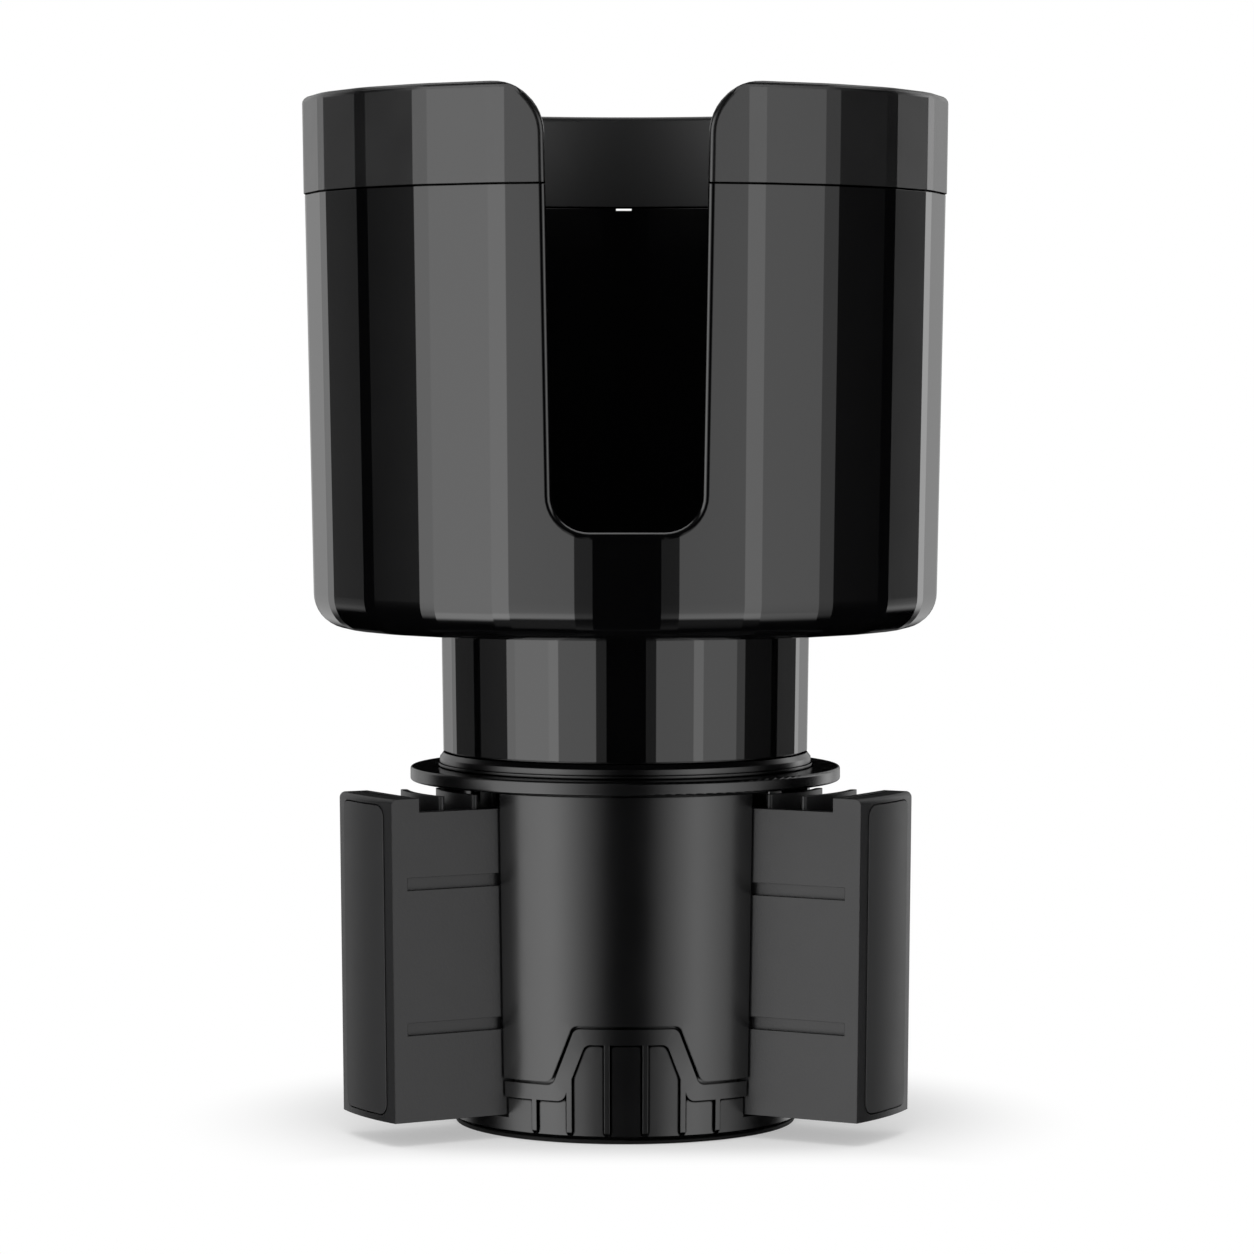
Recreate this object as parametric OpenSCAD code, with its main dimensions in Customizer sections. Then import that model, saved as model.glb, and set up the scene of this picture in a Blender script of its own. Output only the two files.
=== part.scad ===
// Cup holder expander for a car: a large faceted cup on a turning neck.
// Turning the cup drives three jaws out of the base with a scroll, as in a lathe chuck.
// Millimetres, +Z up, origin at the middle of the foot's underside. The handle slot faces -Y.
// The jaws are drawn in their extended place.

/* [Cup] */
// Width of the cup across its corners, at the seam under the rim ring
cup_d = 108.2; // [104:0.2:114]
// Height of the cup shell, from its underside up to the seam
cup_h = 72.7; // [60:1:90]
// Lean of the cup's outer wall, in degrees
cup_draft = 1.1; // [0.6:0.1:1.6]
// Thickness of the cup wall at a corner
cup_wall = 2.6; // [2.4:0.1:3.2]
// Thickness of the cup floor
cup_floor = 3; // [2.6:0.1:4]
// Radius of the cup's lower outer edge
cup_fillet = 4; // [2:0.5:6]
// Number of flat facets around the cup, the rim ring and the neck
facets = 24; // [16:4:32]
// Angle taken by the narrow bevel between two facets, in degrees
bevel = 3.2; // [2:0.2:5]

/* [Rim ring] */
// Height of the rim ring above the seam
ring_h = 16.4; // [12:0.2:20]
// How far the ring's outer face stands out past the cup at the seam
ring_step = 0.2; // [0.1:0.1:0.6]
// How much the ring's outer face widens towards its top
ring_flare = 0.2; // [0:0.1:0.8]
// Radius of the ring's upper edges
ring_edge = 1; // [0.5:0.1:1.2]
// Gap of the seam between the ring and the cup
seam_gap = 0.3; // [0.1:0.05:0.4]
// Height of the tongue that seats the ring in the cup's edge
tongue_h = 2.4; // [1.5:0.1:3.5]
// Thickness of that tongue
tongue_t = 0.8; // [0.6:0.1:1]

/* [Handle slot] */
// Width of the handle slot at the rim ring
slot_w = 26.4; // [22:0.1:32]
// Lean of the slot's sides, in degrees
slot_draft = 1; // [0:0.1:1.4]
// Height of the slot's sill above the cup's underside
slot_sill = 17.5; // [12:0.5:30]
// Radius of the slot's lower corners
slot_r = 6; // [3:0.5:8]
// Radius of the ring's corners beside the slot
slot_flare = 8.5; // [5:0.5:11]
// Width of the small window at the back of the seam
window_w = 2.8; // [2:0.2:5]
// Height of that window
window_h = 0.4; // [0.3:0.1:1]

/* [Neck] */
// Width of the neck across its corners, at its top
neck_d = 62.5; // [60:0.5:66]
// Length of the neck between the scroll plate and the cup
neck_h = 20.8; // [18:0.2:40]
// Lean of the neck's wall, in degrees
neck_draft = 0.8; // [0.4:0.1:1.2]
// Thickness of the neck's wall
neck_wall = 2.2; // [1.8:0.1:2.6]
// Thickness of the deck inside the neck
neck_deck = 2; // [1.6:0.2:3]
// Height of the scroll plate's spigot inside the neck
spigot_h = 6; // [4:0.5:8]

/* [Scroll plate] */
// Diameter of the flange
flange_d = 73; // [71:0.5:78]
// Thickness of the flange
flange_h = 2.3; // [1.8:0.1:3]
// Radius of the flange's edges
flange_edge = 0.4; // [0.3:0.1:0.7]
// Diameter of the collar on the flange
collar_d = 63; // [62.6:0.1:65]
// Height of the collar's straight part
collar_h = 1.6; // [1:0.1:3]
// Height of the collar's sloping shoulder
collar_slope = 0.8; // [0.4:0.1:1.5]
// Height of the groove between the collar and the neck
neck_groove = 0.4; // [0.2:0.1:1]
// Travel of a jaw for one full turn of the cup
scroll_lead = 18.9; // [18:0.3:19.8]
// Number of starts of the scroll
scroll_starts = 3; // [3:3:3]
// Thickness of a scroll rib, along the radius
scroll_rib = 3.2; // [2.8:0.1:3.3]
// Inner radius of the scroll
scroll_in = 9.5; // [9:0.1:10]
// How far the innermost tooth of an extended jaw lies inside the scroll's outer edge
scroll_hold = 1.3; // [1.2:0.1:2]

/* [Jaws] */
// Width of a jaw
jaw_w = 18.7; // [16:0.1:19.5]
// Height of a jaw
jaw_h = 53.3; // [45:0.1:65]
// Travel of a jaw between its stops
jaw_travel = 15; // [12:0.5:15]
// Radius of the jaw's outer face at its top, when it is extended
jaw_reach = 50.5; // [49.8:0.1:51]
// Lean of that face, in degrees
jaw_draft = 0.65; // [0.3:0.05:1]
// Radius of the jaw's inner end, when it is extended
jaw_in = 24; // [23.6:0.1:24.4]
// Thickness of the jaw's walls
jaw_wall = 1.8; // [1.6:0.1:2]
// Radius of the jaw's upper outer edge
jaw_edge = 1; // [0.6:0.1:1.1]
// Length of the raised block at the jaw's outer end
block_l = 6; // [5.6:0.1:6.4]
// Depth of the step behind that block
notch_h = 2.3; // [1.8:0.1:2.6]
// Thickness of a scroll tooth
tooth_t = 1.2; // [1:0.1:1.4]
// Height of the grooves in the jaw's sides
groove_h = 2.1; // [1.8:0.1:2.6]
// Depth of those grooves
groove_t = 0.9; // [0.7:0.1:1.1]
// Height of the lower grooves above the jaw's bottom
groove_low = 14.3; // [8:0.1:20]
// Height of the upper groove above the jaw's bottom, on the left side
groove_left = 38.2; // [28:0.1:40]
// Height of the upper groove above the jaw's bottom, on the right side
groove_right = 36.6; // [28:0.1:40]

/* [Jaw pads] */
// Thickness of the rubber pad on a jaw
pad_t = 1.2; // [0.8:0.1:1.4]
// Margin of jaw left beside the pad
pad_side = 2.3; // [1.5:0.1:3]
// Margin of jaw left above and below the pad
pad_end = 1.2; // [1.2:0.1:4]
// Radius of the pad's corners
pad_r = 1.9; // [1:0.1:4]
// Width of the groove around the pad
pad_gap = 0.2; // [0.1:0.05:0.3]

/* [Base] */
// Diameter of the housing at its top
body_d = 62.8; // [62:0.2:63.4]
// Lean of the housing's wall, in degrees
body_draft = 0.9; // [0.5:0.1:1.2]
// Thickness of the housing's wall at its top
body_wall = 2.1; // [1.8:0.1:2.2]
// Clearance between a jaw and each side of its slot
slide_gap = 0.4; // [0.2:0.05:0.4]
// Thickness of the walls beside the jaws
guide_wall = 1.6; // [1.2:0.1:2]
// Radius of the middle post
post_r = 6.4; // [6:0.1:7]
// Thickness of the housing's floor
body_floor = 1.1; // [1:0.1:1.6]
// Thickness of the base cap's floor
cap_floor = 1; // [1:0.1:1.5]
// Thickness of the base cap's wall
cap_wall = 1.6; // [1.4:0.1:1.8]
// Height of the cap's edge beside the jaws
cap_low = 9.7; // [8:0.1:12]
// Height of the cap's edge at each arch
cap_high = 19.2; // [16:0.1:24]
// Width of the groove between the cap and the housing
cap_gap = 0.5; // [0.3:0.05:0.7]
// Half width of an arch along its top
arch_top = 8.5; // [7:0.1:9]
// Half width of an arch at its foot
arch_foot = 12.1; // [11:0.1:13]
// Height of the smooth band along the cap's edge
band_h = 2.6; // [2:0.1:4]
// Radius of the arch's corners
arch_r = 1.4; // [0.8:0.1:2]
// Depth of the ribbed field below the band
field_t = 0.6; // [0.3:0.05:0.7]
// Width of a rib
rib_w = 0.9; // [0.8:0.1:1.6]
// Angle between two ribs, in degrees
rib_step = 12; // [10:1:14]

/* [Foot] */
// Diameter of the foot pad
foot_d = 57.8; // [54:0.2:58.4]
// Thickness of the foot pad
foot_h = 1.6; // [1.4:0.1:2.4]
// Depth of the seat that the foot pad is glued into
foot_seat = 0.5; // [0.4:0.1:0.8]

/* [Fasteners] */
// Radius of the small screws' shanks
screw_r = 1.5; // [1.2:0.1:1.6]
// Length of the small screws' shanks
screw_l = 9; // [7:0.5:10]
// Radius of the small screws' heads
head_r = 2.8; // [2.4:0.1:3]
// Radius of the middle screw's shank
axle_r = 2; // [1.8:0.1:2.2]
// Radius of the scroll plate's stem
stem_r = 4; // [3.8:0.1:4.2]
// Length of the scroll plate's stem inside the post
stem_l = 10; // [8:0.5:14]

/* [Hidden] */
$fn = 96;
eps = 0.01;
far = 200;

// Small gaps: fixed fits, the stem's running fit, faces that bear, faces that pass each other
fit = 0.1;
running = 0.06;
bearing = 0.05;
lift = 0.3;
// How far joined forms reach into each other
sink = 0.5;
lap = 0.05;
// Gaps above the jaws, above the housing, around the scroll, under the deck and screw heads
plate_gap = 0.8;
flange_gap = 0.6;
scroll_gap = 0.5;
deck_gap = 0.8;

// Heights, from the floor up
cap_z = foot_h - foot_seat;
cap_in_z = foot_h + cap_floor;
floor_z = cap_in_z + body_floor;
jaw_z = floor_z + lift;
jaw_top = jaw_z + jaw_h;
notch_z = jaw_top - notch_h;
rib_z = notch_z + lift;
plate_z = jaw_top + plate_gap;
body_top = plate_z - flange_gap;
flange_z = plate_z + flange_h;
collar_z = flange_z + collar_h;
slope_z = collar_z + collar_slope;
neck_z = slope_z + neck_groove;
cup_z = neck_z + neck_h;
cup_in_z = cup_z + cup_floor;
seam_z = cup_z + cup_h;
rim_z = seam_z + ring_h;
sill_z = cup_z + slot_sill;

// Radii and walls
foot_rim = 0.6;
foot_gap = 0.25;
foot_round = 0.3;
foot_edge = 0.9;
cap_step = 0.2;
spigot_wall = 2;
collar_lean = 0.6;
collar_foot_h = 0.6;
collar_foot_t = 0.2;
neck_recess = 0.5;
centring_h = 2.5;
centring_t = 1.6;
deck_hole_r = 8;
cup_r = cup_d / 2;
cup_foot_r = cup_r - cup_h * tan(cup_draft);
cup_in_r = cup_r - cup_wall;
neck_r = neck_d / 2;
neck_foot_r = neck_r - neck_h * tan(neck_draft);
flat = cos(180 / facets - bevel / 2);
neck_in_r = neck_foot_r * flat - neck_wall;
spigot_r = neck_in_r - fit;
body_r = body_d / 2;
scroll_out = body_r - body_wall - scroll_gap;
seat_r = foot_d / 2 - foot_rim;
cap_in_r = body_r - body_top * tan(body_draft) - cap_wall;
skirt_r = cap_in_r - fit;
skirt_wall = 1.5;
skirt_z = cap_high + 3;
wall_z = skirt_z + 4;
well_foot_r = cup_in_r - cup_h * tan(cup_draft);
well_corner = 1.2;
mat_r = well_foot_r - well_corner - 0.8;
mat_h = 1.6;
mat_edge = 0.4;

// Jaws: three alike, a third of a turn apart, two of them either side of the handle slot
jaw_angles = [210, 330, 90];
arch_angles = [270, 30, 150];
block_in = jaw_reach - block_l;
block_wall = 1.2;
pad_proud = 0.1;
tooth_pitch = scroll_lead / scroll_starts;
teeth = [for (i = [2, 1, 0]) scroll_out - scroll_hold + i * tooth_pitch];
// Space left beside each tooth, from the outermost to the innermost
tooth_side = [1.15, 1.35, 5.35];
slot_half = jaw_w / 2 + slide_gap;
// Rails of the housing, and the jaws' grooves that run past them
rail_gap = 0.2;
rail_in = jaw_in + 2 * lift;
rail_out = body_r - body_wall - lift;
groove_end = rail_out + jaw_travel + 2.7;

// Inset of the ribbed field, and widening of the groove, along the sides of an arch
band_side = band_h * 0.66;
gap_side = cap_gap * 0.7;

// Screws
boss_r = 3.2;
arch_turn = arch_angles[1];
neck_turn = jaw_angles[2];
cup_circle = 22;
neck_circle = 20;
cap_circle = 21;
head_h = 1.6;
tip_gap = 0.5;
deck_z = neck_z + spigot_h + deck_gap;
axle_head_r = 3.6;
axle_head_h = 3;
washer_h = 0.6;
axle_seat_z = cap_in_z + deck_gap + axle_head_h + washer_h;
thrust_z = notch_z + bearing;
hub_z = thrust_z + washer_h + bearing;

// Corners of a faceted ring: pairs of points either side of each corner
function faceted_points(r) = [
    for (i = [0 : facets - 1])
        for (side = [-1, 1])
            let (a = (i + 0.5) * 360 / facets + side * bevel / 2)
                r * [cos(a), sin(a)]
];

// A flat outline with its inner points rounded to the radius r
function unit(v) = v / norm(v);
function corner_arc(a, b, c, r, steps = 6) =
    let (u = unit(a - b),
         w = unit(c - b),
         half = acos(u * w) / 2,
         mid = b + unit(u + w) * r / sin(half),
         p = b + u * r / tan(half) - mid,
         q = b + w * r / tan(half) - mid,
         from = atan2(p.y, p.x),
         turn = atan2(p.x * q.y - p.y * q.x, p * q))
    [for (i = [0 : steps]) mid + r * [cos(from + turn * i / steps), sin(from + turn * i / steps)]];
function rounded_line(pts, r) = [
    pts[0],
    for (i = [1 : len(pts) - 2])
        each corner_arc(pts[i - 1], pts[i], pts[i + 1], r),
    pts[len(pts) - 1]
];

// A faceted cone that stands on z = 0
module faceted_cone(r1, r2, h) {
    linear_extrude(h, scale = r2 / r1)
        polygon(faceted_points(r1));
}

// A ring section in the plane of a turned profile
module band(r1, r2, z1, z2) {
    translate([r1, z1])
        square([r2 - r1, z2 - z1]);
}

// A disc's half section with its two outer edges rounded
module rounded_disc(r, h, edge) {
    band(0, r - edge, 0, h);
    band(0, r, edge, h - edge);
    for (z = [edge, h - edge])
        translate([r - edge, z])
            circle(edge);
}

// Upright cylinders on a circle around the axis
module on_circle(radius, first) {
    for (i = [0 : 2])
        rotate(first + i * 120)
            translate([radius, 0])
                children();
}

// The handle slot seen from the front, with its rounded lower corners and the ring's round shoulders
module slot_outline() {
    low = [slot_w / 2 - (rim_z - sill_z) * tan(slot_draft), sill_z];
    high = [slot_w / 2, rim_z];
    out = [slot_w / 2 + 2 * slot_flare, rim_z];
    side = concat(corner_arc([0, sill_z], low, high, slot_r, 10),
                  corner_arc(low, high, out, slot_flare, 12),
                  [out, out + [0, 2]]);
    polygon(concat(side, [for (i = [len(side) - 1 : -1 : 0]) [-side[i].x, side[i].y]]));
}

module slot_cut() {
    translate([0, -cup_r / 2, 0])
        rotate([90, 0, 0])
            linear_extrude(far)
                slot_outline();
}

module cup_skin() {
    translate([0, 0, cup_z])
        faceted_cone(cup_foot_r, cup_r, cup_h);
}

module cup_cavity() {
    rotate_extrude() {
        polygon([[0, cup_in_z], [well_foot_r - well_corner, cup_in_z],
                 [well_foot_r, cup_in_z + well_corner],
                 [cup_in_r, seam_z + eps], [0, seam_z + eps]]);
    }
}

// Lower edge of the cup as a turned shape that the facets are cut to
module cup_rounding() {
    rotate_extrude() {
        band(0, cup_foot_r - cup_fillet, cup_z, seam_z);
        band(0, cup_r + 1, cup_z + cup_fillet, seam_z);
        translate([cup_foot_r - cup_fillet, cup_z + cup_fillet])
            circle(cup_fillet);
    }
}

tongue_mid = cup_in_r + (cup_r * flat - cup_in_r) / 2;

module seam_window() {
    translate([-window_w / 2, 0, seam_z - window_h])
        cube([window_w, far, window_h + eps]);
}

// The cup with its well, before the slot is cut
module cup_body() {
    difference() {
        union() {
            intersection() {
                cup_skin();
                cup_rounding();
            }
            translate([0, 0, cup_z - centring_h])
                cylinder(r = spigot_r, h = centring_h + eps);
        }
        cup_cavity();
        translate([0, 0, cup_z - centring_h - eps])
            cylinder(r = spigot_r - centring_t, h = centring_h);
        translate([0, 0, seam_z - tongue_h - seam_gap])
            rotate_extrude()
                band(tongue_mid - tongue_t / 2 - fit, tongue_mid + tongue_t / 2 + fit,
                     0, tongue_h + 1);
        seam_window();
        on_circle(cup_circle, arch_turn) {
            translate([0, 0, cup_z - 1])
                cylinder(r = screw_r + fit, h = far);
            translate([0, 0, cup_in_z - head_h])
                cylinder(r = head_r + fit, h = far);
        }
    }
}

module cup_shell() {
    color("#1a1a1b")
        difference() {
            cup_body();
            slot_cut();
        }
}

// A faceted cone whose upper edge is rounded in steps that keep the facets
module faceted_cap(r1, r2, h, edge) {
    steps = 4;
    faceted_cone(r1, r2, h - edge);
    for (i = [0 : steps - 1]) {
        a = 90 * i / steps;
        b = 90 * (i + 1) / steps;
        translate([0, 0, h - edge + edge * sin(a) - lap])
            faceted_cone(r2 - edge * (1 - cos(a)), r2 - edge * (1 - cos(b)),
                         edge * (sin(b) - sin(a)) + lap);
    }
}

module rim_ring() {
    low = seam_z + seam_gap;
    r1 = cup_r + ring_step;
    r2 = r1 + ring_flare;
    color("#202021")
        difference() {
            union() {
                difference() {
                    translate([0, 0, low])
                        faceted_cap(r1, r2, rim_z - low, ring_edge);
                    cylinder(r = cup_in_r, h = far);
                    rotate_extrude()
                        difference() {
                            band(cup_in_r - 1, cup_in_r + ring_edge, rim_z - ring_edge, rim_z + 1);
                            translate([cup_in_r + ring_edge, rim_z - ring_edge])
                                circle(ring_edge);
                        }
                }
                translate([0, 0, seam_z - tongue_h])
                    rotate_extrude()
                        band(tongue_mid - tongue_t / 2, tongue_mid + tongue_t / 2,
                             0, tongue_h + seam_gap + eps);
            }
            slot_cut();
            seam_window();
        }
}

module floor_mat() {
    color("#141414")
        translate([0, 0, cup_in_z])
            rotate_extrude()
                rounded_disc(mat_r, mat_h, mat_edge);
}

// A pan head screw that points down, with the underside of its head at z = 0
module pan_screw(r, l, head, h) {
    difference() {
        union() {
            translate([0, 0, -l])
                cylinder(r = r, h = l + eps);
            cylinder(r = head, h = h * 0.6);
            translate([0, 0, h * 0.6 - eps])
                cylinder(r1 = head, r2 = head * 0.7, h = h * 0.4);
        }
        for (a = [0, 90])
            rotate(a)
                translate([-head * 0.5, -head * 0.1, h * 0.5])
                    cube([head, head * 0.2, h]);
    }
}

module cup_screws() {
    color("#b0b2b5")
        translate([0, 0, cup_in_z - head_h])
            on_circle(cup_circle, arch_turn)
                pan_screw(screw_r, screw_l, head_r, head_h - fit);
}

module neck_screws() {
    color("#b0b2b5")
        translate([0, 0, deck_z + neck_deck])
            on_circle(neck_circle, neck_turn)
                pan_screw(screw_r, screw_l, head_r, head_h);
}

module neck_sleeve() {
    color("#1a1a1b")
        difference() {
            union() {
                difference() {
                    translate([0, 0, neck_z])
                        faceted_cone(neck_foot_r, neck_r, neck_h);
                    translate([0, 0, neck_z - 1])
                        cylinder(r = neck_in_r, h = neck_h + 2);
                }
                translate([0, 0, deck_z])
                    cylinder(r = neck_in_r + sink, h = neck_deck);
                on_circle(cup_circle, arch_turn)
                    translate([0, 0, deck_z])
                        cylinder(r = boss_r, h = cup_z - deck_z);
            }
            on_circle(cup_circle, arch_turn)
                translate([0, 0, deck_z - 1])
                    cylinder(r = screw_r + fit, h = far);
            on_circle(neck_circle, neck_turn)
                translate([0, 0, deck_z - 1])
                    cylinder(r = screw_r + fit, h = far);
            translate([0, 0, deck_z - 1])
                cylinder(r = deck_hole_r, h = far);
        }
}

// One spiral rib of the scroll as a flat outline, between two turns of a spiral
module spiral_rib(start) {
    k = scroll_lead / 360;
    a_in = (scroll_in - scroll_rib) / k;
    a_out = (scroll_out + scroll_rib) / k;
    steps = ceil((a_out - a_in) / 9);
    function ray(i, off) =
        let (a = a_in + (a_out - a_in) * i / steps)
            (a * k + off) * [cos(a + start), sin(a + start)];
    polygon(concat(
        [for (i = [0 : steps]) ray(i, -scroll_rib / 2)],
        [for (i = [steps : -1 : 0]) ray(i, scroll_rib / 2)]));
}

// The scroll: its ribs lie halfway between the teeth of every jaw
module scroll() {
    middle = teeth[2] - tooth_pitch / 2;
    intersection() {
        linear_extrude(plate_z - rib_z + eps)
            for (i = [0 : scroll_starts - 1])
                spiral_rib(jaw_angles[i] - middle / scroll_lead * 360);
        rotate_extrude()
            band(scroll_in, scroll_out, -1, 10);
    }
}

module scroll_plate() {
    color("#1c1c1d")
        difference() {
            union() {
                translate([0, 0, plate_z])
                    rotate_extrude() {
                        rounded_disc(flange_d / 2, flange_h, flange_edge);
                        polygon([[spigot_r - spigot_wall, 0],
                                 [collar_d / 2 + collar_foot_t, 0],
                                 [collar_d / 2 + collar_foot_t, flange_h + collar_foot_h],
                                 [collar_d / 2, flange_h + collar_foot_h],
                                 [collar_d / 2, collar_z - plate_z],
                                 [collar_d / 2 - collar_lean, slope_z - plate_z],
                                 [neck_foot_r * flat - neck_recess, slope_z - plate_z],
                                 [neck_foot_r * flat - neck_recess, neck_z - plate_z],
                                 [spigot_r, neck_z - plate_z],
                                 [spigot_r, neck_z - plate_z + spigot_h],
                                 [spigot_r - spigot_wall, neck_z - plate_z + spigot_h]]);
                    }
                translate([0, 0, rib_z])
                    scroll();
                translate([0, 0, hub_z])
                    cylinder(r = post_r, h = plate_z - hub_z + eps);
                translate([0, 0, hub_z - stem_l])
                    cylinder(r = stem_r, h = stem_l + eps);
                on_circle(neck_circle, neck_turn)
                    translate([0, 0, plate_z + sink])
                        cylinder(r = boss_r, h = deck_z - plate_z - sink);
            }
            on_circle(neck_circle, neck_turn)
                translate([0, 0, deck_z + neck_deck - screw_l - tip_gap])
                    cylinder(r = screw_r + fit, h = far);
            translate([0, 0, hub_z - stem_l - 1])
                cylinder(r = axle_r + fit, h = stem_l + flange_z - hub_z - tip_gap);
        }
}

module centre_screw() {
    top = thrust_z + washer_h;
    color("#b0b2b5")
        translate([0, 0, axle_seat_z - washer_h])
            rotate([180, 0, 0])
                pan_screw(axle_r, top - axle_seat_z + washer_h, axle_head_r, axle_head_h - fit);
}

module centre_washer() {
    color("#c4c6c8")
        translate([0, 0, axle_seat_z - washer_h])
            difference() {
                cylinder(r = axle_head_r + 0.6, h = washer_h);
                translate([0, 0, -1])
                    cylinder(r = axle_r + fit, h = washer_h + 2);
            }
}

module thrust_washer() {
    color("#d8d8d2")
        translate([0, 0, thrust_z])
            difference() {
                cylinder(r = post_r, h = washer_h);
                translate([0, 0, -1])
                    cylinder(r = stem_r + fit, h = washer_h + 2);
            }
}

// Everything below an arched line that runs around the base
module arch_zone(low, high, top_x, foot_x) {
    translate([0, 0, -1])
        cylinder(r = far / 2, h = low + 1);
    for (a = arch_angles)
        rotate(a + 90)
            translate([0, -body_r / 2, 0])
                rotate([90, 0, 0])
                    linear_extrude(body_r)
                        polygon(concat(
                            [[-body_r, -1]],
                            rounded_line([[-body_r, low], [-foot_x, low], [-top_x, high],
                                          [top_x, high], [foot_x, low], [body_r, low]], arch_r),
                            [[body_r, -1]]));
}

// The space that the three jaws slide in
module jaw_slots(half, low) {
    translate([0, 0, low])
        linear_extrude(far)
            for (a = jaw_angles)
                rotate(a)
                    translate([-1, -half])
                        square([far, 2 * half]);
}

function body_radius(z) = body_r - (body_top - z) * tan(body_draft);

// The tapered outside of the base, thinner by t
module body_cone(t = 0, low = 0) {
    translate([0, 0, low])
        cylinder(r1 = body_radius(low) - t, r2 = body_r - t, h = body_top - low);
}

module guide_rails() {
    rail_h = groove_h - 2 * lift;
    tip = jaw_w / 2 - groove_t + rail_gap;
    for (a = jaw_angles)
        rotate(a)
            for (side = [[1, groove_low], [1, groove_left], [-1, groove_low], [-1, groove_right]])
                translate([rail_in, side.x > 0 ? tip : -slot_half - eps, jaw_z + side.y + lift])
                    cube([rail_out - rail_in, slot_half - tip + eps, rail_h]);
}

module housing() {
    inner_top = notch_z - fit;
    inner_r = body_r - body_wall;
    color("#161617")
        difference() {
            union() {
                difference() {
                    intersection() {
                        union() {
                            body_cone();
                            translate([0, 0, cap_in_z])
                                cylinder(r = skirt_r, h = cap_high);
                        }
                        translate([0, 0, cap_in_z])
                            cylinder(r = far / 2, h = far);
                    }
                    difference() {
                        arch_zone(cap_low + cap_gap, cap_high + cap_gap,
                                  arch_top + gap_side, arch_foot + gap_side);
                        translate([0, 0, -2])
                            cylinder(r = skirt_r, h = far);
                    }
                    translate([0, 0, floor_z])
                        cylinder(r = skirt_r - skirt_wall, h = far);
                    translate([0, 0, skirt_z])
                        cylinder(r1 = skirt_r - skirt_wall, r2 = inner_r, h = wall_z - skirt_z);
                    translate([0, 0, wall_z - eps])
                        cylinder(r = inner_r, h = far);
                    jaw_slots(slot_half, floor_z);
                }
                difference() {
                    intersection() {
                        for (a = jaw_angles)
                            rotate(a)
                                for (m = [0, 1])
                                    mirror([0, m])
                                        translate([0, slot_half, floor_z - eps])
                                            cube([body_r, guide_wall, inner_top - floor_z + eps]);
                        rotate_extrude()
                            polygon([[0, 0], [skirt_r - sink, 0], [skirt_r - sink, skirt_z],
                                     [inner_r + sink, wall_z],
                                     [inner_r + sink, inner_top], [0, inner_top]]);
                    }
                    jaw_slots(slot_half, floor_z);
                }
                guide_rails();
                translate([0, 0, cap_in_z])
                    cylinder(r = post_r, h = notch_z - cap_in_z);
                on_circle(cap_circle, arch_turn)
                    translate([0, 0, floor_z - eps])
                        cylinder(r = boss_r, h = screw_l + 1);
            }
            translate([0, 0, cap_in_z - 1])
                cylinder(r = axle_head_r + 1, h = axle_seat_z - cap_in_z + 1);
            translate([0, 0, cap_in_z])
                cylinder(r = axle_r + lift, h = far);
            translate([0, 0, thrust_z - stem_l])
                cylinder(r = stem_r + running, h = far);
            on_circle(cap_circle, arch_turn)
                translate([0, 0, cap_in_z - 1])
                    cylinder(r = screw_r + fit, h = screw_l + 1);
        }
}

module cap_ribs() {
    for (a = arch_angles)
        for (i = [-2.5 : 1 : 2.5])
            rotate(a + i * rib_step)
                translate([cap_in_r, -rib_w / 2, cap_z])
                    cube([3 * cap_wall, rib_w, far]);
}

module base_cap() {
    foot_r = body_radius(0) - cap_step;
    color("#181819")
        difference() {
            intersection() {
                body_cone(cap_step);
                arch_zone(cap_low, cap_high, arch_top, arch_foot);
                rotate_extrude()
                    polygon([[0, cap_z], [foot_r - foot_edge, cap_z],
                             [foot_r, cap_z + foot_edge], [far / 2, cap_z + foot_edge],
                             [far / 2, far], [0, far]]);
            }
            difference() {
                intersection() {
                    arch_zone(cap_low - band_h, cap_high - band_h,
                              arch_top - band_side, arch_foot - band_side);
                    difference() {
                        translate([0, 0, cap_z - 1])
                            cylinder(r = far / 2, h = far);
                        body_cone(cap_step + field_t);
                    }
                }
                cap_ribs();
            }
            translate([0, 0, cap_in_z])
                cylinder(r = cap_in_r, h = far);
            jaw_slots(slot_half, floor_z - fit);
            translate([0, 0, -1])
                cylinder(r = seat_r + fit, h = 1 + foot_h);
            on_circle(cap_circle, arch_turn)
                translate([0, 0, foot_h - eps])
                    cylinder(r1 = head_r + fit, r2 = screw_r + fit, h = cap_floor + 2 * eps);
        }
}

module cap_screws() {
    color("#b0b2b5")
        on_circle(cap_circle, arch_turn) {
            translate([0, 0, foot_h])
                cylinder(r1 = head_r - fit, r2 = screw_r, h = cap_floor);
            translate([0, 0, foot_h])
                cylinder(r = screw_r, h = screw_l);
        }
}

module foot_pad() {
    color("#0f0f0f")
        rotate_extrude() {
            rounded_disc(foot_d / 2, cap_z - foot_gap, foot_round);
            band(0, seat_r, foot_round, foot_h);
        }
}

// A scroll tooth in plan: an arc across the jaw that leans with the spiral, with round ends.
// Its bend is the mean of the spiral's bends over the stretch where it is in mesh.
module tooth_plan(r, half) {
    bend = 2 / (1 / (r - jaw_travel) + 1 / min(r, scroll_out));
    lean = atan(scroll_lead / (2 * PI) / r);
    mid = [r - bend * cos(lean), bend * sin(lean)];
    ends = [for (v = [-half, half]) asin((v - mid.y) / bend)];
    intersection() {
        translate(mid)
            difference() {
                circle(bend + tooth_t / 2);
                circle(bend - tooth_t / 2);
            }
        polygon([mid, for (a = ends) mid + 2 * bend * [cos(a), sin(a)]]);
    }
    for (a = ends)
        translate(mid + bend * [cos(a), sin(a)])
            circle(tooth_t / 2, $fn = 24);
}

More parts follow.
